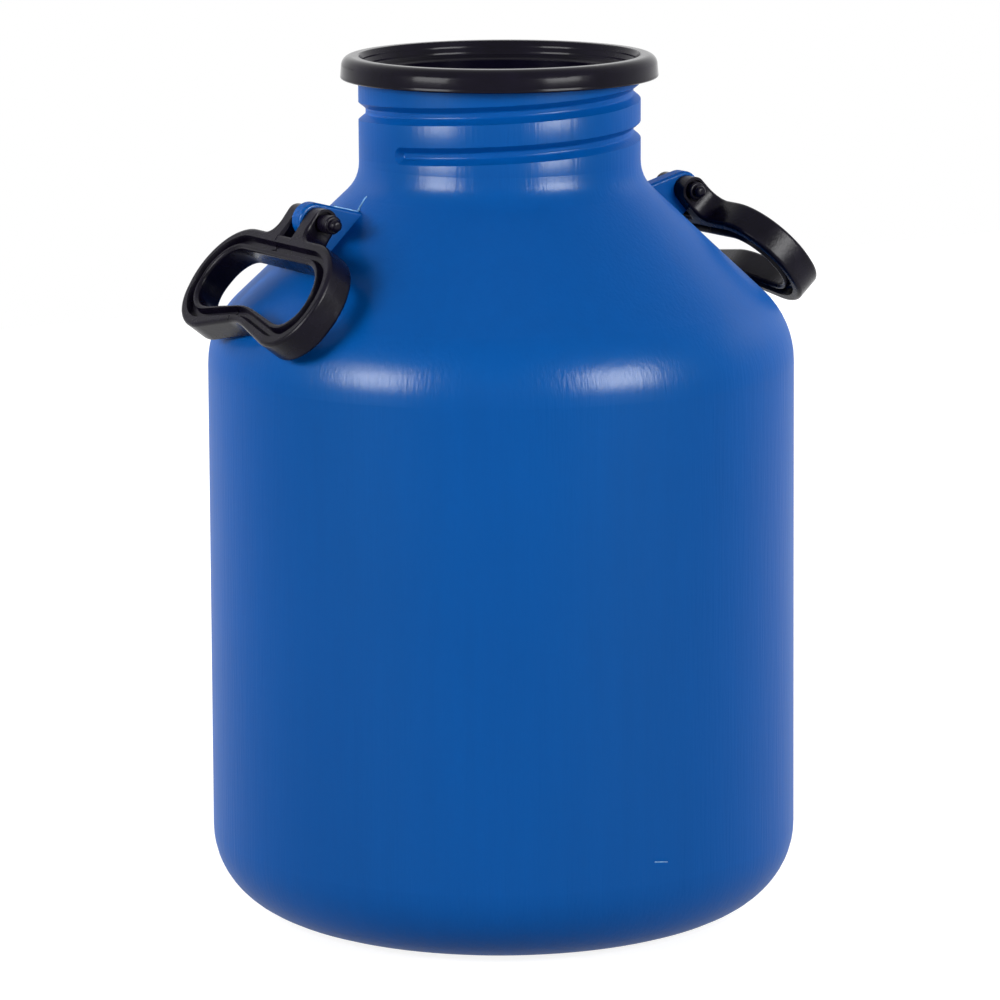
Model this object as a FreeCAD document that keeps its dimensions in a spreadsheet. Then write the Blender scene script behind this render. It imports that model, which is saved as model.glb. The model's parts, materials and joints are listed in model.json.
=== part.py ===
"""Plastic milk can: a hollow blow-moulded can with a snapped-in collar and two swinging loop handles.

The origin is the centre of the base, +Z is up, and the two handle lugs stand on the X axis.
Lengths are in millimetres and angles in degrees.
"""
import FreeCAD, Part
import math
import os
import Sketcher
from FreeCAD import Placement, Rotation, Vector

# ---------------------------------------------------------------- driving dimensions
DIMENSIONS = {
    # can: straight wall, rounded shoulder, cone and neck
    "base_diameter": 331.0,
    "base_corner_radius": 44.0,
    "base_panel_diameter": 206.0,
    "base_panel_depth": 5.0,
    "base_panel_slope": 7.0,
    "wall_draw_in": 3.5,
    "shoulder_height": 330.4,
    "shoulder_radius": 49.5,
    "cone_angle": 43.5,
    "neck_diameter": 156.6,
    "neck_root_radius": 22.0,
    "neck_height": 56.1,
    "wall": 4.0,
    "neck_wall": 5.8,
    # screw groove round the neck
    "groove_pitch": 21.7,
    "groove_start_drop": 37.2,
    "groove_start_turn": 14.0,
    "groove_end_lap": 0.6,
    "groove_depth": 4.0,
    "groove_mouth": 9.6,
    "groove_floor": 3.0,
    "groove_lip_radius": 2.6,
    "groove_floor_radius": 1.4,
    # moulded lugs on the cone
    "lug_run": 76.6,
    "lug_standoff": 18.6,
    "lug_radius": 10.0,
    "lug_thickness": 10.0,
    "lug_crest_slope": 15.0,
    "lug_root_length": 40.0,
    "lug_root_sink": 1.6,
    "lug_edge_radius": 1.8,
    # collar that closes the cut edge of the mouth
    "collar_overhang": 9.9,
    "collar_height": 12.4,
    "collar_draft": 1.0,
    "collar_edge_radius": 5.5,
    "collar_lip_radius": 0.8,
    "collar_crown_width": 10.2,
    "collar_step_width": 2.2,
    "collar_step_depth": 7.6,
    "collar_step_slope": 2.4,
    "collar_skirt_wall": 1.8,
    "collar_skirt_length": 11.0,
    "collar_clearance": 0.2,
    # loop handle: half widths and distances from the pin axis
    "gap_top": 28.3,
    "gap_top_half": 50.8,
    "gap_top_radius": 20.0,
    "gap_low": 64.4,
    "gap_low_half": 59.9,
    "gap_low_radius": 15.5,
    "gap_hollow": 65.5,
    "gap_hollow_half": 36.8,
    "gap_hollow_radius": 36.0,
    "gap_swell": 59.0,
    "gap_swell_radius": 48.0,
    "bar_band": 13.5,
    "bar_flare": 24.9,
    "bar_corner_radius": 34.0,
    "heel_band": 20.6,
    "heel_corner_radius": 26.0,
    "grip_band": 12.5,
    "swell_band": 10.3,
    "swell_radius": 30.0,
    "band_width": 17.0,
    "band_edge_radius": 2.2,
    "channel_place": 0.47,
    "channel_mouth": 6.2,
    "channel_floor": 2.4,
    "channel_depth": 3.8,
    "channel_lip_radius": 1.0,
    # clevis: the two arms that carry the loop on the pin
    "arm_thickness": 9.7,
    "arm_flare_radius": 9.0,
    "hub_radius": 7.8,
    "hub_taper": 3.0,
    "hub_recess_radius": 6.3,
    "hub_recess_depth": 2.4,
    # hinge pin
    "pin_diameter": 10.2,
    "pin_tip_diameter": 6.8,
    "pin_tip_length": 4.5,
    "pin_end_overhang": 3.0,
    "pin_edge_radius": 1.2,
    "left_pin_slide": 6.5,
    # fits
    "side_clearance": 0.3,
    "bore_clearance": 0.05,
    "rest_clearance": 0.3,
    "right_handle_lift": 5.0,
}

OVERRUN = 5.0  # how far a cutting profile passes the surface that it leaves

# expressions that several features share
BASE_R = "dims.base_diameter / 2"
SHOULDER_R = "(dims.base_diameter - dims.wall_draw_in) / 2"
NECK_R = "dims.neck_diameter / 2"
BORE_R = f"({NECK_R} - dims.neck_wall)"
CONE_RISE = f"({SHOULDER_R} - {NECK_R}) * tan(dims.cone_angle)"
MOUTH_Z = f"(dims.shoulder_height + {CONE_RISE} + dims.neck_height)"
PIN_X = f"({SHOULDER_R} - dims.lug_run * cos(dims.cone_angle) + dims.lug_standoff * sin(dims.cone_angle))"
PIN_Z = "(dims.shoulder_height + dims.lug_run * sin(dims.cone_angle) + dims.lug_standoff * cos(dims.cone_angle))"
ARM_INSIDE = "(dims.lug_thickness / 2 + dims.side_clearance)"
ARM_OUTSIDE = f"({ARM_INSIDE} + dims.arm_thickness)"
BAR_EDGE = "(dims.gap_top - dims.bar_band)"
PIN_BORE_R = "(dims.pin_diameter / 2 + dims.bore_clearance)"


# ---------------------------------------------------------------- document helpers
def make_sheet(doc):
    sheet = doc.addObject("Spreadsheet::Sheet", "dims")
    for row, (alias, value) in enumerate(DIMENSIONS.items(), start=1):
        sheet.set(f"A{row}", alias)
        sheet.set(f"B{row}", str(value))
        sheet.setAlias(f"B{row}", alias)
    doc.recompute()
    return sheet


def new_body(doc, name):
    body = doc.addObject("PartDesign::Body", name)
    body.Label = name
    return body


def origin_feature(body, role):
    return next(feature for feature in body.Origin.OriginFeatures if feature.Role == role)


def new_sketch(body, name, role, offset=None):
    """Attach a sketch to one of the body's own origin planes, moved along its normal by an expression."""
    sketch = body.newObject("Sketcher::SketchObject", name)
    sketch.AttachmentSupport = [(origin_feature(body, role), "")]
    sketch.MapMode = "FlatFace"
    if offset:
        sketch.setExpression("AttachmentOffset.Base.z", offset)
    sketch.Document.recompute()
    return sketch


def bind(sketch, constraint, expression):
    """Add a dimension to a sketch and drive it by an expression."""
    index = sketch.addConstraint(constraint)
    sketch.setExpression(f"Constraints[{index}]", expression)


def evaluate(sketch, expression):
    return float(sketch.evalExpression(expression))


def place_point(sketch, geometry, position, x_expression, y_expression, x_value, y_value):
    """Fix a point by its two coordinates; a coordinate of zero puts it on the axis."""
    if x_expression == "0":
        sketch.addConstraint(Sketcher.Constraint("PointOnObject", geometry, position, -2))
    else:
        bind(sketch, Sketcher.Constraint("DistanceX", -1, 1, geometry, position, x_value), x_expression)
    if y_expression == "0":
        sketch.addConstraint(Sketcher.Constraint("PointOnObject", geometry, position, -1))
    else:
        bind(sketch, Sketcher.Constraint("DistanceY", -1, 1, geometry, position, y_value), y_expression)


def limited_radii(points, radii):
    """Shorten the radii whose tangent lengths would not fit on a side of the outline."""
    count = len(points)
    reach = []
    for i, radius in enumerate(radii):
        before = points[i - 1] - points[i]
        after = points[(i + 1) % count] - points[i]
        reach.append(radius / math.tan(before.getAngle(after) / 2) if radius else 0.0)
    limited = list(radii)
    for i in range(count):
        j = (i + 1) % count
        room = 0.99 * (points[j] - points[i]).Length
        if reach[i] + reach[j] > room:
            share = room / (reach[i] + reach[j])
            limited[i] = min(limited[i], radii[i] * share)
            limited[j] = min(limited[j], radii[j] * share)
    return limited


def add_outline(sketch, corners):
    """Draw a closed outline through corners of (x, y, radius) expressions; a radius of "0" stays sharp."""
    points = [Vector(evaluate(sketch, x), evaluate(sketch, y), 0) for x, y, _ in corners]
    asked = [evaluate(sketch, radius) for _, _, radius in corners]
    radii = limited_radii(points, asked)
    count = len(points)
    starts, ends, arcs = [], [], []
    for i, (point, radius) in enumerate(zip(points, radii)):
        if not radius:
            starts.append(point)
            ends.append(point)
            arcs.append(None)
            continue
        before = (points[i - 1] - point).normalize()
        after = (points[(i + 1) % count] - point).normalize()
        half = before.getAngle(after) / 2
        ends.append(point + before * (radius / math.tan(half)))
        starts.append(point + after * (radius / math.tan(half)))
        centre = point + (before + after).normalize() * (radius / math.sin(half))
        turns_left = before.cross(after).z < 0
        first, last = (ends[i], starts[i]) if turns_left else (starts[i], ends[i])
        circle = Part.Circle(centre, Vector(0, 0, 1), radius)
        angles = [math.atan2(p.y - centre.y, p.x - centre.x) for p in (first, last)]
        arcs.append((Part.ArcOfCircle(circle, angles[0], angles[1]), turns_left))
    lines = [sketch.addGeometry(Part.LineSegment(starts[i], ends[(i + 1) % count])) for i in range(count)]
    for i, (x, y, radius) in enumerate(corners):
        into, out = lines[i - 1], lines[i]
        if arcs[i] is None:
            sketch.addConstraint(Sketcher.Constraint("Coincident", into, 2, out, 1))
            place_point(sketch, out, 1, x, y, points[i].x, points[i].y)
            continue
        arc_geometry, turns_left = arcs[i]
        arc = sketch.addGeometry(arc_geometry)
        first, last = (1, 2) if turns_left else (2, 1)
        sketch.addConstraint(Sketcher.Constraint("Tangent", into, 2, arc, first))
        sketch.addConstraint(Sketcher.Constraint("Tangent", arc, last, out, 1))
        corner = sketch.addGeometry(Part.Point(points[i]), True)
        sketch.addConstraint(Sketcher.Constraint("PointOnObject", corner, 1, into))
        sketch.addConstraint(Sketcher.Constraint("PointOnObject", corner, 1, out))
        place_point(sketch, corner, 1, x, y, points[i].x, points[i].y)
        if radii[i] == asked[i]:
            bind(sketch, Sketcher.Constraint("Radius", arc, radii[i]), radius)
        else:
            sketch.addConstraint(Sketcher.Constraint("Radius", arc, radii[i]))
    return sketch


def add_circle(sketch, x, y, radius):
    """Draw a circle from centre and radius expressions."""
    centre = Vector(evaluate(sketch, x), evaluate(sketch, y), 0)
    circle = sketch.addGeometry(Part.Circle(centre, Vector(0, 0, 1), evaluate(sketch, radius)))
    place_point(sketch, circle, 3, x, y, centre.x, centre.y)
    bind(sketch, Sketcher.Constraint("Radius", circle, evaluate(sketch, radius)), radius)
    return sketch


def mirrored_outline(half):
    """Complete a half outline of (x, y, radius) expressions, given from one side, by mirroring it in y."""
    other = [(x, f"-({y})", radius) for x, y, radius in reversed(half) if y != "0"]
    return half + other


def revolve(body, name, kind, sketch, axis_role):
    feature = body.newObject(kind, name)
    feature.Profile = sketch
    feature.ReferenceAxis = (origin_feature(body, axis_role), [""])
    feature.Angle = 360.0
    body.Document.recompute()
    return feature


def pad(body, name, sketch, length):
    """Pad a sketch by a length expression, half to each side."""
    feature = body.newObject("PartDesign::Pad", name)
    feature.Profile = sketch
    feature.Midplane = True
    feature.setExpression("Length", length)
    body.Document.recompute()
    return feature


def pocket_through(body, name, sketch):
    feature = body.newObject("PartDesign::Pocket", name)
    feature.Profile = sketch
    feature.Type = "ThroughAll"
    feature.Midplane = True
    body.Document.recompute()
    return feature


def fillet(body, name, base, radius, chosen):
    """Round the edges of a feature for which chosen(edge) is true."""
    edges = [f"Edge{i}" for i, edge in enumerate(base.Shape.Edges, start=1) if chosen(edge)]
    feature = body.newObject("PartDesign::Fillet", name)
    feature.Base = (base, edges)
    feature.setExpression("Radius", radius)
    body.Document.recompute()
    return feature


# ---------------------------------------------------------------- can
def can_outside(sketch):
    return add_outline(sketch, [
        ("0", "dims.base_panel_depth", "0"),
        ("dims.base_panel_diameter / 2", "dims.base_panel_depth", "dims.base_panel_depth"),
        ("dims.base_panel_diameter / 2 + dims.base_panel_slope", "0", "dims.base_panel_depth"),
        (BASE_R, "0", "dims.base_corner_radius"),
        (SHOULDER_R, "dims.shoulder_height", "dims.shoulder_radius"),
        (NECK_R, f"dims.shoulder_height + {CONE_RISE}", "dims.neck_root_radius"),
        (NECK_R, MOUTH_Z, "0"),
        ("0", MOUTH_Z, "0"),
    ])


def can_cavity(sketch):
    inner_corner = "dims.wall * tan((90 - dims.cone_angle) / 2)"
    inner_rise = f"({SHOULDER_R} - dims.wall - {BORE_R}) * tan(dims.cone_angle)"
    return add_outline(sketch, [
        ("0", "dims.base_panel_depth + dims.wall", "0"),
        ("dims.base_panel_diameter / 2", "dims.base_panel_depth + dims.wall", "dims.base_panel_depth"),
        ("dims.base_panel_diameter / 2 + dims.base_panel_slope", "dims.wall", "dims.base_panel_depth"),
        (f"{BASE_R} - dims.wall", "dims.wall", "dims.base_corner_radius - dims.wall"),
        (f"{SHOULDER_R} - dims.wall", f"dims.shoulder_height - {inner_corner}", "dims.shoulder_radius - dims.wall"),
        (BORE_R, f"dims.shoulder_height - {inner_corner} + {inner_rise}", "dims.neck_root_radius"),
        (BORE_R, f"{MOUTH_Z} + {OVERRUN}", "0"),
        ("0", f"{MOUTH_Z} + {OVERRUN}", "0"),
    ])


def lug_outline(sketch, side):
    """A round eye on a fin; the fin's root lies inside the can's wall."""
    span = "(90 + dims.lug_crest_slope + dims.cone_angle)"
    nose = f"dims.lug_radius / cos({span} / 2)"
    lean = "(90 + dims.lug_crest_slope - dims.cone_angle) / 2"
    foot_x = f"({PIN_X} - (dims.lug_standoff + dims.lug_root_sink) * sin(dims.cone_angle))"
    foot_z = f"({PIN_Z} - (dims.lug_standoff + dims.lug_root_sink) * cos(dims.cone_angle))"
    back = "(dims.lug_root_length - dims.lug_radius)"
    crest_run = f"({PIN_X} - {foot_x} + {back} * cos(dims.cone_angle))"
    corners = [
        (f"{PIN_X} + {nose} * cos({lean})", f"{PIN_Z} + {nose} * sin({lean})", "dims.lug_radius"),
        (f"{foot_x} + dims.lug_radius * cos(dims.cone_angle)",
         f"{foot_z} - dims.lug_radius * sin(dims.cone_angle)", "0"),
        (f"{foot_x} - {back} * cos(dims.cone_angle)", f"{foot_z} + {back} * sin(dims.cone_angle)", "0"),
        (f"{foot_x} - {back} * cos(dims.cone_angle)",
         f"{PIN_Z} + dims.lug_radius / cos(dims.lug_crest_slope) - {crest_run} * tan(dims.lug_crest_slope)", "0"),
    ]
    return add_outline(sketch, [(f"{side} * ({x})", z, radius) for x, z, radius in corners])


def screw_groove(body):
    """A soft-lipped helical cut with a round lower end, which runs out through the mouth."""
    sketch = new_sketch(body, "groove_section", "XZ_Plane")
    sketch.AttachmentOffset = Placement(Vector(0, 0, 0), Rotation(Vector(0, 1, 0), 0))
    sketch.setExpression("AttachmentOffset.Base.y", f"{MOUTH_Z} - dims.groove_start_drop")
    sketch.setExpression("AttachmentOffset.Rotation.Angle", "180 + dims.groove_start_turn")
    body.Document.recompute()
    bottom = f"{NECK_R} - dims.groove_depth"
    clear = f"{NECK_R} + dims.groove_lip_radius"
    half = "dims.groove_mouth / 2"
    lower_half = [
        (clear, f"-({half} + dims.groove_lip_radius * 2)", "0"),
        (NECK_R, f"-{half}", "dims.groove_lip_radius"),
        (bottom, "-dims.groove_floor / 2", "dims.groove_floor_radius"),
    ]
    upper_half = [(x, f"-({z})", radius) for x, z, radius in reversed(lower_half)]
    add_outline(sketch, lower_half + upper_half)
    helix = body.newObject("PartDesign::SubtractiveHelix", "screw_groove")
    helix.Profile = sketch
    helix.ReferenceAxis = (origin_feature(body, "Z_Axis"), [""])
    helix.Mode = "pitch-height-angle"
    helix.setExpression("Pitch", "dims.groove_pitch")
    helix.setExpression("Height", "dims.groove_start_drop + dims.groove_mouth + dims.groove_lip_radius * 2")
    body.Document.recompute()
    end = new_sketch(body, "groove_end_section", "XZ_Plane")
    end.AttachmentOffset = Placement(Vector(0, 0, 0), Rotation(Vector(0, 1, 0), 0))
    end.setExpression("AttachmentOffset.Base.y", f"{MOUTH_Z} - dims.groove_start_drop")
    end.setExpression("AttachmentOffset.Rotation.Angle",
                      "180 + dims.groove_start_turn + dims.groove_end_lap")
    body.Document.recompute()
    add_outline(end, upper_half + [(clear, "0", "0"), (bottom, "0", "0")])
    round_end = body.newObject("PartDesign::Groove", "groove_round_end")
    round_end.Profile = end
    round_end.ReferenceAxis = (end, ["H_Axis"])
    round_end.Angle = 360.0
    body.Document.recompute()
    return round_end


def make_can(doc):
    body = new_body(doc, "can_shell")
    revolve(body, "outer_form", "PartDesign::Revolution",
            can_outside(new_sketch(body, "outer_profile", "XZ_Plane")), "Z_Axis")
    for name, side in (("right", 1), ("left", -1)):
        outline = lug_outline(new_sketch(body, f"{name}_lug_outline", "XZ_Plane"), side)
        lug = pad(body, f"{name}_lug", outline, "dims.lug_thickness")
    half = evaluate(outline, "dims.lug_thickness / 2")

    def on_lug_rim(edge):
        """The lines and arcs round the two flat sides of each lug."""
        flat = edge.BoundBox.YLength < 1e-6 and abs(abs(edge.BoundBox.YMin) - half) < 1e-6
        return flat and edge.Curve.TypeId in ("Part::GeomLine", "Part::GeomCircle")

    fillet(body, "lug_rims", lug, "dims.lug_edge_radius", on_lug_rim)
    bores = new_sketch(body, "pin_bores", "XZ_Plane")
    for side in (1, -1):
        add_circle(bores, f"{side} * {PIN_X}", PIN_Z, PIN_BORE_R)
    pocket_through(body, "pin_bore_cut", bores)
    revolve(body, "cavity", "PartDesign::Groove",
            can_cavity(new_sketch(body, "cavity_profile", "XZ_Plane")), "Z_Axis")
    screw_groove(body)
    return body


# ---------------------------------------------------------------- collar
def make_collar(doc):
    body = new_body(doc, "rim_collar")
    sketch = new_sketch(body, "collar_section", "XZ_Plane")
    outer = f"({NECK_R} + dims.collar_overhang)"
    crown = f"({outer} - dims.collar_crown_width)"
    top = f"({MOUTH_Z} + dims.collar_height)"
    step = f"({top} - dims.collar_step_depth)"
    skirt_out = f"({BORE_R} - dims.collar_clearance)"
    skirt_in = f"({skirt_out} - dims.collar_skirt_wall)"
    skirt_end = f"{MOUTH_Z} - dims.collar_skirt_length"
    add_outline(sketch, [
        (outer, MOUTH_Z, "dims.collar_lip_radius"),
        (f"{outer} - dims.collar_draft", top, "dims.collar_edge_radius"),
        (crown, top, "dims.collar_lip_radius"),
        (f"{crown} - dims.collar_step_width", step, "dims.collar_lip_radius"),
        (skirt_in, f"{step} - dims.collar_step_slope", "dims.collar_lip_radius"),
        (skirt_in, skirt_end, "0"),
        (skirt_out, skirt_end, "0"),
        (skirt_out, MOUTH_Z, "0"),
    ])
    revolve(body, "collar_form", "PartDesign::Revolution", sketch, "Z_Axis")
    return body


# ---------------------------------------------------------------- handles
# A handle is drawn with its pin along Y and its loop reaching out along +X.
GAP_CORNERS = [
    ("dims.gap_swell", "0", "dims.gap_swell_radius"),
    ("dims.gap_hollow", "dims.gap_hollow_half", "dims.gap_hollow_radius"),
    ("dims.gap_low", "dims.gap_low_half", "dims.gap_low_radius"),
    ("dims.gap_top", "dims.gap_top_half", "dims.gap_top_radius"),
]
LOOP_CORNERS = [
    ("dims.gap_swell + dims.swell_band", "0", "dims.swell_radius"),
    ("dims.gap_low + dims.heel_band", "dims.gap_low_half + 1", "dims.heel_corner_radius"),
    (BAR_EDGE, "dims.gap_top_half + dims.bar_flare", "dims.bar_corner_radius"),
]
ARM_CORNERS = [
    (BAR_EDGE, ARM_OUTSIDE, "dims.arm_flare_radius"),
    ("-dims.hub_radius - 1", ARM_OUTSIDE, "0"),
    ("-dims.hub_radius - 1", ARM_INSIDE, "0"),
    (BAR_EDGE, ARM_INSIDE, "dims.side_clearance"),
]


def channel_path():
    """Corners of the channel's centre line, a set share of the way from the finger gap to the outside."""
    def between(inner, outer):
        return tuple("0" if near == "0" else f"({near}) + dims.channel_place * ({far} - ({near}))"
                     for near, far in zip(inner, outer))

    swell, hollow, low, top = GAP_CORNERS
    outer_swell, outer_low, outer_top = LOOP_CORNERS
    middle = (f"{hollow[0]} + dims.channel_place * dims.grip_band", hollow[1], hollow[2])
    return [between(swell, outer_swell), middle, between(low, outer_low), between(top, outer_top)]


def mirror(body, name, feature, role):
    """Repeat a feature on the other side of an origin plane."""
    copy = body.newObject("PartDesign::Mirrored", name)
    copy.Originals = [feature]
    copy.MirrorPlane = (origin_feature(body, role), [""])
    body.Tip = copy
    body.Document.recompute()
    return copy


def cut(body, name, sketch, depth):
    """Pocket a sketch to a depth expression, into the side its plane faces away from."""
    feature = body.newObject("PartDesign::Pocket", name)
    feature.Profile = sketch
    feature.setExpression("Length", depth)
    body.Document.recompute()
    return feature


def round_hub(body, name):
    """Trim the square arm ends to round hubs whose flanks taper out to the faces of the loop."""
    sketch = new_sketch(body, f"{name}_hub_trim", "XZ_Plane")
    flank = "(dims.hub_radius + {run} * sin(dims.hub_taper)) / cos(dims.hub_taper)"
    far = "(dims.hub_radius + dims.band_width)"
    high = flank.format(run="dims.gap_top")
    add_outline(sketch, [
        ("-dims.hub_radius", "-dims.side_clearance", "0"),
        ("-dims.hub_radius", flank.format(run="(-dims.hub_radius)"), "dims.hub_radius"),
        ("dims.gap_top", high, "0"),
        (f"-{far}", high, "0"),
        (f"-{far}", "-dims.side_clearance", "0"),
    ])
    return mirror(body, f"{name}_hub_low", pocket_through(body, f"{name}_hub_high", sketch), "XY_Plane")


def channel(body, name):
    """Sweep a flared channel right round the loop, once on each face."""
    path = add_outline(new_sketch(body, f"{name}_channel_path", "XY_Plane"), mirrored_outline(channel_path()))
    section = new_sketch(body, f"{name}_channel_section", "XZ_Plane")
    middle = f"({channel_path()[0][0]})"
    face = "dims.band_width / 2"
    floor = f"{face} - dims.channel_depth"
    add_outline(section, [
        (f"{middle} - dims.channel_floor / 2", floor, "0"),
        (f"{middle} + dims.channel_floor / 2", floor, "0"),
        (f"{middle} + dims.channel_mouth / 2", f"{face} + dims.channel_lip_radius", "0"),
        (f"{middle} - dims.channel_mouth / 2", f"{face} + dims.channel_lip_radius", "0"),
    ])
    sweep = body.newObject("PartDesign::SubtractivePipe", f"{name}_channel_high")
    sweep.Profile = section
    sweep.Spine = (path, [])
    sweep.Mode = "Binormal"
    sweep.Binormal = Vector(0, 0, 1)
    body.Document.recompute()
    return mirror(body, f"{name}_channel_low", sweep, "XY_Plane")


def make_handle(doc, name):
    body = new_body(doc, name)
    plan = new_sketch(body, f"{name}_plan", "XY_Plane")
    add_outline(plan, mirrored_outline(LOOP_CORNERS + ARM_CORNERS))
    add_outline(plan, mirrored_outline(GAP_CORNERS))
    loop = pad(body, f"{name}_loop", plan, "dims.band_width")
    half = evaluate(plan, "dims.band_width / 2")

    def on_face(edge):
        return edge.BoundBox.ZLength < 1e-6 and abs(abs(edge.BoundBox.ZMin) - half) < 1e-6

    fillet(body, f"{name}_edges", loop, "dims.band_edge_radius", on_face)
    round_hub(body, name)
    bore = add_circle(new_sketch(body, f"{name}_bore", "XZ_Plane"), "0", "0", PIN_BORE_R)
    pocket_through(body, f"{name}_bore_cut", bore)
    recess = add_circle(new_sketch(body, f"{name}_recess", "XZ_Plane", ARM_OUTSIDE), "0", "0",
                        "dims.hub_recess_radius")
    mirror(body, f"{name}_recess_far", cut(body, f"{name}_recess_near", recess, "dims.hub_recess_depth"),
           "XZ_Plane")
    channel(body, name)
    return body


# ---------------------------------------------------------------- hinge pins
def make_pin(doc, name):
    """A straight pin with a small round-ended tip on the -Y side."""
    body = new_body(doc, name)
    sketch = new_sketch(body, f"{name}_section", "XY_Plane")
    near = f"-({ARM_OUTSIDE} + dims.pin_end_overhang)"
    radius = "dims.pin_diameter / 2"
    tip = "dims.pin_tip_diameter / 2"
    add_outline(sketch, [
        ("0", ARM_OUTSIDE, "0"),
        ("0", f"{near} - dims.pin_tip_length", "0"),
        (tip, f"{near} - dims.pin_tip_length", "dims.pin_tip_diameter * 0.35"),
        (tip, near, "0"),
        (radius, near, "dims.pin_edge_radius"),
        (radius, ARM_OUTSIDE, "dims.pin_edge_radius"),
    ])
    revolve(body, f"{name}_form", "PartDesign::Revolution", sketch, "Y_Axis")
    return body


# ---------------------------------------------------------------- assembly
def rest_angle(sheet):
    """Angle below level at which a handle's grip lies against the can's shoulder."""
    wall_foot = Vector(evaluate(sheet, BASE_R), 0, 0)
    corner = Vector(evaluate(sheet, SHOULDER_R), evaluate(sheet, "dims.shoulder_height"), 0)
    cone = Vector(evaluate(sheet, NECK_R) - corner.x, evaluate(sheet, CONE_RISE), 0)
    down = (wall_foot - corner).normalize()
    up = cone.normalize()
    radius = evaluate(sheet, "dims.shoulder_radius")
    centre = corner + (down + up).normalize() * (radius / math.sin(down.getAngle(up) / 2))
    pin = Vector(evaluate(sheet, PIN_X), evaluate(sheet, PIN_Z), 0)
    drop = pin - centre
    reach = radius + evaluate(sheet, "dims.band_width / 2 + dims.rest_clearance")
    return math.degrees(math.atan2(drop.x, drop.y) + math.acos(reach / drop.Length))


doc = FreeCAD.newDocument("milk_can")
sheet = make_sheet(doc)
can = make_can(doc)
collar = make_collar(doc)
handles = [make_handle(doc, "handle_left"), make_handle(doc, "handle_right")]
pins = [make_pin(doc, "pin_left"), make_pin(doc, "pin_right")]
pin_x = evaluate(sheet, PIN_X)
pin_z = evaluate(sheet, PIN_Z)
hang = rest_angle(sheet)
slide = evaluate(sheet, "dims.left_pin_slide")
lift = evaluate(sheet, "dims.right_handle_lift")
handles[0].Placement = Placement(Vector(-pin_x, 0, pin_z), Rotation(Vector(0, 1, 0), 180 - hang))
handles[1].Placement = Placement(Vector(pin_x, 0, pin_z), Rotation(Vector(0, 1, 0), hang - lift))
pins[0].Placement = Placement(Vector(-pin_x, -slide, pin_z), Rotation())
pins[1].Placement = Placement(Vector(pin_x, 0, pin_z), Rotation())
doc.recompute()
bodies = [can, collar, *handles, *pins]
for obj in doc.Objects:
    if "Invalid" in obj.State or "Error" in obj.State:
        raise RuntimeError(f"{obj.Name} did not build: {obj.State}")
os.makedirs("parts", exist_ok=True)
for body in bodies:
    if body.Shape.isNull() or not body.Shape.isValid() or len(body.Shape.Solids) != 1:
        raise RuntimeError(f"{body.Label} is not one sound solid")
    print(f"{body.Label}: {body.Shape.Volume / 1000:.2f} cm3")
    body.Shape.exportStep(f"parts/{body.Label}.step")
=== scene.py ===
"""Looks of the plastic milk can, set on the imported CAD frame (metres, Z up, lugs on the X axis)."""
import json
import math

import bpy
from mathutils import Matrix, Vector


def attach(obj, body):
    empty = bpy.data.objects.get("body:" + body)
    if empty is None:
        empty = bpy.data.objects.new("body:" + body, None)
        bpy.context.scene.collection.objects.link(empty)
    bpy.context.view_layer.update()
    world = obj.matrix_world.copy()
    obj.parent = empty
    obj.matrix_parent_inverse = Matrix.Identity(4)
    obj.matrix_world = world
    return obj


# ---------------------------------------------------------------- named values
# camera: where it stands round the can, and its lens
CAMERA_TURN = math.radians(32.0)
CAMERA_DISTANCE = 2.6076
CAMERA_HEIGHT = 0.7439
CAMERA_PITCH = math.radians(11.18)
CAMERA_ROLL = math.radians(0.33)
CAMERA_LENS = 169.8
CAMERA_SENSOR = 36.0
CAMERA_SHIFT = -0.0018
CAMERA_REACH = 60.0

# lamps all point at this height on the can's axis; angles are in degrees and powers in watts
LAMP_AIM_Z = 0.25
SOFTBOX_RISE = 21.5
SOFTBOX_DISTANCE = 1.7
SOFTBOX_SIZE = (0.76, 0.56)
# softboxes: turn from the camera's side of the can, power, and whether they show in reflections
SOFTBOXES = [
    ("softbox_left", -50.0, 16.5, True),
    ("softbox_right", 46.0, 16.5, True),
    ("softbox_back_left", -128.0, 20.0, False),
    ("softbox_back_right", 128.0, 20.0, False),
]
# the reflected softboxes stand there again, this many times as strong, for their reflections alone
GLOSS_POWER = 4.5
# fill lamps stand all round at the same height angle, and leave no reflection
FILL_COUNT = 6
FILL_RISE = 10.0
FILL_DISTANCE = 3.0
FILL_SIZE = (1.4, 1.4)
FILL_POWER = 6.0
OVERHEAD_RISE = 88.0
OVERHEAD_POWER = 8.0
WORLD_LIGHT = 0.04
WHITE = (1.0, 1.0, 1.0, 1.0)
FLOOR_SIZE = 4.0
FLOOR_GREY = (0.25, 0.25, 0.25, 1.0)
FLOOR_ROUGHNESS = 0.9
FLOOR_DROP = 0.0002
# the floor's own brightness rises from this, near the can, to the white of the background further off
FLOOR_GLOW = 0.86
FLOOR_NEAR = 0.35
FLOOR_FAR = 1.1

BLUE = (0.0003, 0.076, 0.328, 1.0)
BLACK = (0.0036, 0.0026, 0.0078, 1.0)
PLASTIC_IOR = 1.5
# the blue's finish: lowest and highest roughness, gloss, its tint, and a thin coat
BLUE_ROUGHNESS = (0.47, 0.55)
BLUE_SPECULAR = 0.03
BLUE_TINT = (0.05, 0.72, 1.0, 1.0)
BLUE_COAT = 0.15
BLUE_COAT_ROUGHNESS = 0.25
# the black's gloss, and its finishes: lowest and highest roughness, and strength of the grain's bump
BLACK_SPECULAR = 0.10
COLLAR_FINISH = (0.10, 0.17, 0.06)
HANDLE_FINISH = (0.20, 0.33, 0.80)
PIN_FINISH = (0.18, 0.30, 0.15)

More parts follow.
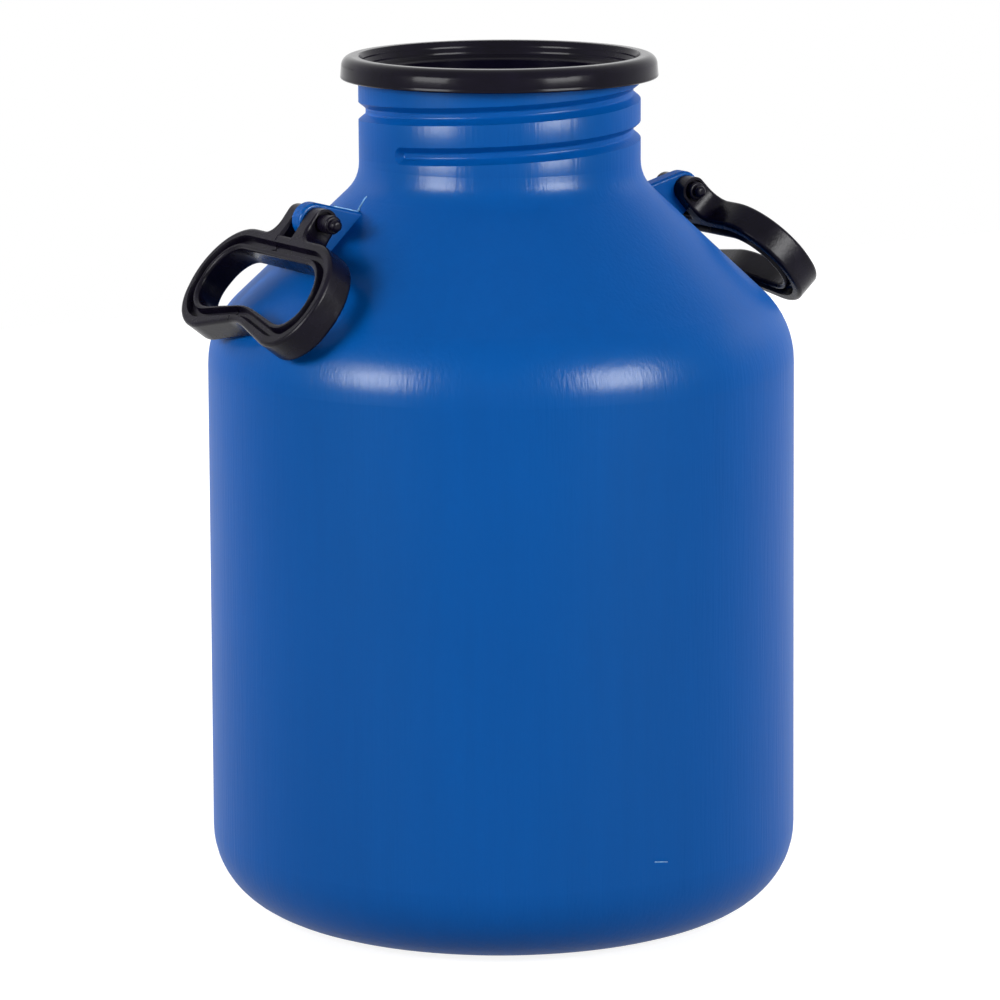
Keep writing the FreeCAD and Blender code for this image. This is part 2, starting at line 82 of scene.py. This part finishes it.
# neck groove: its centre line starts here and climbs one pitch a turn
GROOVE_PITCH = 0.0217
GROOVE_START_Z = 0.43039
GROOVE_START_ANGLE = math.radians(-166.0)
NECK_LOW_Z = 0.4125
NECK_TOP_Z = 0.4576
NECK_FADE = 0.004
# the lands lean by this, between these parts of a turn below the groove's centre line
LAND_LEAN = 0.17
LAND_START = (0.17, 0.24)
LAND_FADE = (0.24, 0.80)

# flash left on the left lug's crest and up the cone, as points on plan
FLASH_RUN = [
    (-0.1085, -0.0032), (-0.1040, -0.0036), (-0.0995, -0.0026), (-0.0955, -0.0034), (-0.0920, -0.0006),
    (-0.0890, 0.0024), (-0.0868, 0.0030), (-0.0850, 0.0044), (-0.0837, 0.0036),
]
FLASH_THICKNESS = 0.0011
# pale blue of the flash and the scratch: partly the stretched plastic's own paler colour, partly a painted
# highlight along the flash
FLASH_TONE_AND_SHEEN = (0.22, 0.52, 0.84, 1.0)
# rays that find the surface under a line start from here
ABOVE_CAN_Z = 0.6
OUTSIDE_CAN_R = 0.3
OFF_HANDLE = 0.05
# a short light scratch low on the wall: turn and length in degrees; sunk, to stay inside the solid's box
SCRATCH_TURN = 29.6
SCRATCH_LENGTH = 1.6
SCRATCH_Z = 0.0569
SCRATCH_FALL = 0.0012
SCRATCH_POINTS = 5
SCRATCH_THICKNESS = 0.0005
SCRATCH_SUNK = 0.00017
# fine mouldings of the collar: heights of the two inner ledges and the outer lip
COLLAR_LEDGES = (0.4733, 0.4765)
COLLAR_LIP_Z = 0.4690
COLLAR_MIDDLE_Z = 0.4722
COLLAR_INNER_R = 0.0795
COLLAR_CROWN_Z = 0.4775
COLLAR_CROWN_FADE = 0.001
# how far those mouldings lean the surface, and how far they reach up and down
COLLAR_INNER_LEAN = 0.12
COLLAR_LEDGE_LEAN = 0.26
COLLAR_LEDGE_REACH = 0.0004
COLLAR_INNER_START = 0.0006
COLLAR_LIP_LEAN = 0.24
COLLAR_LIP_REACH = 0.0005
COLLAR_BARREL = 30.0

# seams across the left handle's face: start and end from the pivot, and offset along the pin
HANDLE_HANG = 52.8
SEAM_POINTS = 10
SEAM_THICKNESS = 0.0006
HANDLE_SEAMS = [("bar_seam", 0.0155, 0.0275, 0.0080), ("grip_seam", 0.0620, 0.0705, 0.0070)]

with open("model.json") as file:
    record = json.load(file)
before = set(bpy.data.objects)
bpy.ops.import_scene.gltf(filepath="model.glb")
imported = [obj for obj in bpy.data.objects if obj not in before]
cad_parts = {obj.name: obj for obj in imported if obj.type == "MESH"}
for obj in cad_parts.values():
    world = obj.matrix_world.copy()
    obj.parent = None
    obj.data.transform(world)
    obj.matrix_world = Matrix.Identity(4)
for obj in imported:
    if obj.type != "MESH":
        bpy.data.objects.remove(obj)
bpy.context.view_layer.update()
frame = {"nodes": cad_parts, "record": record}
nodes = frame["nodes"]


# ---------------------------------------------------------------- node helpers
class Nodes:
    """Short calls for building a node material."""

    def __init__(self, name):
        self.material = bpy.data.materials.new(name)
        self.material.use_nodes = True
        self.tree = self.material.node_tree
        self.shader = self.tree.nodes["Principled BSDF"]
        self.place = self.tree.nodes.new("ShaderNodeTexCoord").outputs["Object"]

    def add(self, kind, **values):
        node = self.tree.nodes.new(kind)
        for name, value in values.items():
            setattr(node, name, value)
        return node

    def link(self, source, target):
        self.tree.links.new(source, target)

    def stretched(self, scale):
        """Object coordinates scaled along each axis."""
        mapping = self.add("ShaderNodeMapping")
        mapping.inputs["Scale"].default_value = scale
        self.link(self.place, mapping.inputs["Vector"])
        return mapping.outputs["Vector"]

    def noise(self, scale, detail=3.0, vector=None):
        texture = self.add("ShaderNodeTexNoise")
        texture.inputs["Scale"].default_value = scale
        texture.inputs["Detail"].default_value = detail
        self.link(vector or self.place, texture.inputs["Vector"])
        return texture.outputs["Fac"]

    def spread(self, value, low, high, start=0.3, end=0.7):
        """Map a value from start..end to low..high."""
        node = self.add("ShaderNodeMapRange")
        for name, number in (("From Min", start), ("From Max", end), ("To Min", low), ("To Max", high)):
            node.inputs[name].default_value = number
        self.link(value, node.inputs["Value"])
        return node.outputs["Result"]

    def math(self, operation, first, second=0.0):
        node = self.add("ShaderNodeMath", operation=operation)
        for socket, value in zip(node.inputs, (first, second)):
            if isinstance(value, (int, float)):
                socket.default_value = value
            else:
                self.link(value, socket)
        return node.outputs["Value"]

    def near(self, value, place, reach):
        """1 within a distance of a place, and 0 elsewhere."""
        node = self.add("ShaderNodeMath", operation="COMPARE")
        self.link(value, node.inputs[0])
        node.inputs[1].default_value = place
        node.inputs[2].default_value = reach
        return node.outputs["Value"]

    def leaning(self, lean):
        """The surface normal leaned upwards."""
        upward = self.add("ShaderNodeCombineXYZ")
        self.link(lean, upward.inputs["Z"])
        total = self.add("ShaderNodeVectorMath", operation="ADD")
        self.link(self.add("ShaderNodeNewGeometry").outputs["Normal"], total.inputs[0])
        self.link(upward.outputs["Vector"], total.inputs[1])
        unit = self.add("ShaderNodeVectorMath", operation="NORMALIZE")
        self.link(total.outputs["Vector"], unit.inputs[0])
        return unit.outputs["Vector"]

    def shade(self, colour, factor, low, high):
        """A colour made darker and lighter by a factor."""
        node = self.add("ShaderNodeMix", data_type="RGBA")
        node.inputs["A"].default_value = [c * low for c in colour[:3]] + [1.0]
        node.inputs["B"].default_value = [c * high for c in colour[:3]] + [1.0]
        self.link(factor, node.inputs["Factor"])
        return node.outputs["Result"]

    def bump(self, height, strength, distance, normal=None):
        node = self.add("ShaderNodeBump")
        node.inputs["Strength"].default_value = strength
        node.inputs["Distance"].default_value = distance
        self.link(height, node.inputs["Height"])
        if normal:
            self.link(normal, node.inputs["Normal"])
        return node.outputs["Normal"]


# ---------------------------------------------------------------- materials
def land_swell(m):
    """Upward lean of the surface just under each turn of the screw groove, fading down the land.

    The blow-moulded lands between the turns are slightly barrel-shaped at their upper edge."""
    parts = m.add("ShaderNodeSeparateXYZ")
    m.link(m.place, parts.inputs["Vector"])
    angle = m.math("ARCTAN2", parts.outputs["Y"], parts.outputs["X"])
    rise = m.math("DIVIDE", m.math("SUBTRACT", parts.outputs["Z"], GROOVE_START_Z), GROOVE_PITCH)
    turns = m.math("DIVIDE", m.math("SUBTRACT", angle, GROOVE_START_ANGLE), math.tau)
    below = m.math("SUBTRACT", 1.0, m.math("FRACT", m.math("SUBTRACT", rise, turns)))
    fading = m.spread(below, 1.0, 0.0, *LAND_FADE)
    starting = m.spread(below, 0.0, 1.0, *LAND_START)
    above_root = m.spread(parts.outputs["Z"], 0.0, 1.0, NECK_LOW_Z, NECK_LOW_Z + NECK_FADE)
    below_top = m.spread(parts.outputs["Z"], 1.0, 0.0, NECK_TOP_Z - NECK_FADE, NECK_TOP_Z)
    in_neck = m.math("MULTIPLY", above_root, below_top)
    lean = m.math("MULTIPLY", m.math("MULTIPLY", fading, starting), m.math("MULTIPLY", in_neck, LAND_LEAN))
    return m.leaning(lean)


def blue_plastic():
    """Satin blow-moulded polyethylene: fine upright die lines over a slightly uneven skin."""
    m = Nodes("blue_polyethylene")
    streaks = m.noise(9.0, 4.0, m.stretched((14.0, 14.0, 1.0)))
    lines = m.noise(1.0, 3.0, m.stretched((520.0, 520.0, 30.0)))
    clouds = m.noise(7.0, 2.0)
    grain = m.noise(900.0, 2.0)
    tone = m.math("ADD", m.math("MULTIPLY", streaks, 0.5), m.math("MULTIPLY", clouds, 0.5))
    m.link(m.shade(BLUE, m.spread(tone, 0.0, 1.0), 0.96, 1.05), m.shader.inputs["Base Color"])
    m.link(m.spread(tone, *BLUE_ROUGHNESS), m.shader.inputs["Roughness"])
    m.shader.inputs["IOR"].default_value = PLASTIC_IOR
    m.shader.inputs["Specular IOR Level"].default_value = BLUE_SPECULAR
    m.shader.inputs["Specular Tint"].default_value = BLUE_TINT
    m.shader.inputs["Coat Weight"].default_value = BLUE_COAT
    m.shader.inputs["Coat Roughness"].default_value = BLUE_COAT_ROUGHNESS
    skin = m.bump(clouds, 0.25, 0.0006, land_swell(m))
    skin = m.bump(streaks, 0.10, 0.0002, skin)
    skin = m.bump(lines, 0.90, 0.00018, skin)
    skin = m.bump(grain, 0.05, 0.0001, skin)
    m.link(skin, m.shader.inputs["Normal"])
    m.link(skin, m.shader.inputs["Coat Normal"])
    return m.material


def collar_mouldings(m):
    """Upward lean of the collar's faces: a barrel-shaped outside with a lip, and two fine ledges inside."""
    parts = m.add("ShaderNodeSeparateXYZ")
    m.link(m.place, parts.inputs["Vector"])
    height = parts.outputs["Z"]
    flat = m.math("ADD", m.math("POWER", parts.outputs["X"], 2.0), m.math("POWER", parts.outputs["Y"], 2.0))
    outside = m.math("GREATER_THAN", m.math("SQRT", flat), COLLAR_INNER_R)
    inside = m.math("SUBTRACT", 1.0, outside)
    low, high = (m.near(height, ledge, COLLAR_LEDGE_REACH) for ledge in COLLAR_LEDGES)
    ledges = m.math("MULTIPLY", m.math("ADD", low, high), COLLAR_LEDGE_LEAN)
    inner = m.math("SUBTRACT", COLLAR_INNER_LEAN, ledges)
    inner = m.math("MULTIPLY", inner, m.math("GREATER_THAN", height, COLLAR_LEDGES[0] - COLLAR_INNER_START))
    barrel = m.math("MULTIPLY", m.math("SUBTRACT", height, COLLAR_MIDDLE_Z), COLLAR_BARREL)
    lip = m.math("MULTIPLY", m.near(height, COLLAR_LIP_Z, COLLAR_LIP_REACH), COLLAR_LIP_LEAN)
    under_crown = m.spread(height, 1.0, 0.0, COLLAR_CROWN_Z - COLLAR_CROWN_FADE, COLLAR_CROWN_Z)
    outer = m.math("MULTIPLY", m.math("ADD", barrel, lip), under_crown)
    return m.leaning(m.math("ADD", m.math("MULTIPLY", inner, inside), m.math("MULTIPLY", outer, outside)))


def black_plastic(name, finish, collar=False):
    """Black injection-moulded plastic with soft scuffs and a fine skin."""
    rough_low, rough_high, grain_bump = finish
    m = Nodes(name)
    scuffs = m.noise(60.0, 5.0)
    grain = m.noise(620.0, 3.0)
    m.link(m.shade(BLACK, m.spread(scuffs, 0.0, 1.0), 0.8, 1.4), m.shader.inputs["Base Color"])
    m.link(m.spread(scuffs, rough_low, rough_high), m.shader.inputs["Roughness"])
    m.shader.inputs["IOR"].default_value = PLASTIC_IOR
    m.shader.inputs["Specular IOR Level"].default_value = BLACK_SPECULAR
    skin = m.bump(scuffs, 0.08, 0.0003, collar_mouldings(m) if collar else None)
    m.link(m.bump(grain, grain_bump, 0.00012, skin), m.shader.inputs["Normal"])
    return m.material


def dress(name, material):
    node = nodes[name]
    node.data.materials.clear()
    node.data.materials.append(material)


dress("can_shell", blue_plastic())
dress("rim_collar", black_plastic("black_collar", COLLAR_FINISH, collar=True))
for side in ("left", "right"):
    dress(f"handle_{side}", black_plastic(f"black_handle_{side}", HANDLE_FINISH))
    dress(f"pin_{side}", black_plastic(f"black_pin_{side}", PIN_FINISH))


# ---------------------------------------------------------------- fine moulding marks
def pale_flash_and_sheen():
    """Thin, stretched polyethylene, paler than the wall: partly its own paler colour, partly a painted highlight
    along the raised line.
    """
    m = Nodes("pale_flash_and_sheen")
    patches = m.noise(260.0, 3.0)
    m.link(m.shade(FLASH_TONE_AND_SHEEN, m.spread(patches, 0.0, 1.0), 0.55, 1.25), m.shader.inputs["Base Color"])
    m.link(m.spread(patches, 0.40, 0.60), m.shader.inputs["Roughness"])
    m.link(m.bump(patches, 0.3, 0.0001), m.shader.inputs["Normal"])
    return m.material


def add_piece(name, data, material, body):
    data.materials.append(material)
    piece = bpy.data.objects.new(name, data)
    bpy.context.scene.collection.objects.link(piece)
    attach(piece, body)


def line_on(node, name, starts, toward, thickness, material, body, sunk=0.0):
    """A fine raised line over a CAD node, dropped on it from the starting points."""
    data = bpy.data.curves.new(name, "CURVE")
    data.dimensions = "3D"
    data.bevel_depth = thickness / 2
    data.bevel_resolution = 2
    data.use_fill_caps = True
    spline = data.splines.new("NURBS")
    spline.points.add(len(starts) - 1)
    for point, start in zip(spline.points, starts):
        found, place, _, _ = nodes[node].ray_cast(start, toward)
        if not found:
            raise RuntimeError(f"{name} misses {node}")
        point.co = (*(place + toward * sunk), 1.0)
    spline.order_u = 3
    spline.use_endpoint_u = True
    add_piece(name, data, material, body)


def steps(count):
    """Evenly spaced shares from 0 to 1."""
    return [number / (count - 1) for number in range(count)]


def add_marks():
    bpy.context.view_layer.update()
    # this pale material carries a painted highlight along the flash, besides the own paler colour of the flash
    # and the scratch
    flash = pale_flash_and_sheen()
    down = Vector((0, 0, -1))
    crest = [Vector((x, y, ABOVE_CAN_Z)) for x, y in FLASH_RUN]
    line_on("can_shell", "lug_flash", crest, down, FLASH_THICKNESS, flash, "can")
    scratch = [around(SCRATCH_TURN + share * SCRATCH_LENGTH, 0.0, OUTSIDE_CAN_R, SCRATCH_Z - share * SCRATCH_FALL)
               for share in steps(SCRATCH_POINTS)]
    inward = around(SCRATCH_TURN + 180.0, 0.0, 1.0, 0.0).normalized()
    line_on("can_shell", "wall_scratch", scratch, inward, SCRATCH_THICKNESS, flash, "can", SCRATCH_SUNK)
    pivot = Vector(frame["record"]["behaviour"]["joints"][0]["pos_m"])
    hang = math.radians(HANDLE_HANG)
    along = Vector((-math.cos(hang), 0, -math.sin(hang)))
    face = Vector((-math.sin(hang), 0, math.cos(hang)))
    black = black_plastic("black_seam", HANDLE_FINISH)
    for name, start, end, offset in HANDLE_SEAMS:
        origin = pivot + face * OFF_HANDLE + Vector((0, offset, 0))
        run = [origin + along * (start + (end - start) * share) for share in steps(SEAM_POINTS)]
        line_on("handle_left", name, run, -face, SEAM_THICKNESS, black, "left_handle")


# ---------------------------------------------------------------- studio
def around(turn, rise, distance, height=LAMP_AIM_Z):
    """A point round the can, by its turn from the camera's side towards the image's right."""
    angle = math.radians(turn)
    side = Vector((math.cos(CAMERA_TURN), -math.sin(CAMERA_TURN), 0))
    front = Vector((-math.sin(CAMERA_TURN), -math.cos(CAMERA_TURN), 0))
    flat = front * math.cos(angle) + side * math.sin(angle)
    level = distance * math.cos(math.radians(rise))
    return flat * level + Vector((0, 0, height + distance * math.sin(math.radians(rise))))


def add_lamp(name, turn, rise, distance, size, power, reflected=True, lighting=True):
    """A soft lamp. One that isn't reflected leaves no highlight, and one not lighting leaves only that."""
    data = bpy.data.lights.new(name, "AREA")
    data.shape = "RECTANGLE"
    data.size, data.size_y = size
    data.energy = power
    lamp = bpy.data.objects.new(name, data)
    bpy.context.scene.collection.objects.link(lamp)
    lamp.location = around(turn, rise, distance)
    aim = Vector((0, 0, LAMP_AIM_Z)) - lamp.location
    lamp.rotation_euler = aim.to_track_quat("-Z", "Y").to_euler()
    lamp.visible_glossy = reflected
    lamp.visible_diffuse = lighting


def make_lamps():
    place = (SOFTBOX_RISE, SOFTBOX_DISTANCE, SOFTBOX_SIZE)
    for name, turn, power, reflected in SOFTBOXES:
        add_lamp(name, turn, *place, power, reflected)
    for name, turn, power, reflected in SOFTBOXES:
        if reflected:
            add_lamp(f"{name}_gloss", turn, *place, power * GLOSS_POWER, lighting=False)
    for number in range(FILL_COUNT):
        turn = number * 360.0 / FILL_COUNT
        add_lamp(f"fill_{number}", turn, FILL_RISE, FILL_DISTANCE, FILL_SIZE, FILL_POWER, reflected=False)
    add_lamp("overhead", 0.0, OVERHEAD_RISE, FILL_DISTANCE, FILL_SIZE, OVERHEAD_POWER, reflected=False)


def seen_directly(tree):
    """1 for what the camera sees, straight or in a reflection, and 0 for light that falls on the can."""
    path = tree.nodes.new("ShaderNodeLightPath")
    value = path.outputs["Is Camera Ray"]
    for kind in ("Is Glossy Ray", "Is Transmission Ray"):
        node = tree.nodes.new("ShaderNodeMath")
        node.operation = "MAXIMUM"
        tree.links.new(value, node.inputs[0])
        tree.links.new(path.outputs[kind], node.inputs[1])
        value = node.outputs["Value"]
    return value


def make_world():
    world = bpy.data.worlds.new("studio")
    bpy.context.scene.world = world
    world.use_nodes = True
    tree = world.node_tree
    lit = tree.nodes["Background"]
    lit.inputs["Color"].default_value = WHITE
    lit.inputs["Strength"].default_value = WORLD_LIGHT
    seen = tree.nodes.new("ShaderNodeBackground")
    seen.inputs["Color"].default_value = WHITE
    mix = tree.nodes.new("ShaderNodeMixShader")
    tree.links.new(seen_directly(tree), mix.inputs["Fac"])
    tree.links.new(lit.outputs[0], mix.inputs[1])
    tree.links.new(seen.outputs[0], mix.inputs[2])
    tree.links.new(mix.outputs[0], tree.nodes["World Output"].inputs["Surface"])


def make_floor():
    half = FLOOR_SIZE / 2
    mesh = bpy.data.meshes.new("floor")
    corners = [(x, y, -FLOOR_DROP) for x, y in ((-half, -half), (half, -half), (half, half), (-half, half))]
    mesh.from_pydata(corners, [], [(0, 1, 2, 3)])
    floor = bpy.data.objects.new("floor", mesh)
    bpy.context.scene.collection.objects.link(floor)
    m = Nodes("floor_white")
    m.shader.inputs["Base Color"].default_value = FLOOR_GREY
    m.shader.inputs["Roughness"].default_value = FLOOR_ROUGHNESS
    m.shader.inputs["Emission Color"].default_value = WHITE
    reach = m.add("ShaderNodeVectorMath", operation="LENGTH")
    m.link(m.place, reach.inputs[0])
    glow = m.spread(reach.outputs["Value"], FLOOR_GLOW, 1.0, FLOOR_NEAR, FLOOR_FAR)
    m.link(m.math("MULTIPLY", seen_directly(m.tree), glow), m.shader.inputs["Emission Strength"])
    mesh.materials.append(m.material)


def make_camera():
    data = bpy.data.cameras.new("camera")
    data.lens = CAMERA_LENS
    data.sensor_width = CAMERA_SENSOR
    data.shift_x = CAMERA_SHIFT
    data.clip_end = CAMERA_REACH
    camera = bpy.data.objects.new("camera", data)
    bpy.context.scene.collection.objects.link(camera)
    level = Vector((math.sin(CAMERA_TURN), math.cos(CAMERA_TURN), 0))
    ahead = level * math.cos(CAMERA_PITCH) - Vector((0, 0, math.sin(CAMERA_PITCH)))
    right = level.cross(Vector((0, 0, 1))).normalized()
    upward = right.cross(ahead)
    rolled = right * math.cos(CAMERA_ROLL) - upward * math.sin(CAMERA_ROLL)
    upward = rolled.cross(ahead)
    turn = Matrix((rolled, upward, -ahead)).transposed().to_4x4()
    place = -level * CAMERA_DISTANCE + Vector((0, 0, CAMERA_HEIGHT))
    camera.matrix_world = Matrix.Translation(place) @ turn
    bpy.context.scene.camera = camera


add_marks()
make_lamps()
make_world()
make_floor()
make_camera()
bpy.context.scene.view_settings.view_transform = "Standard"
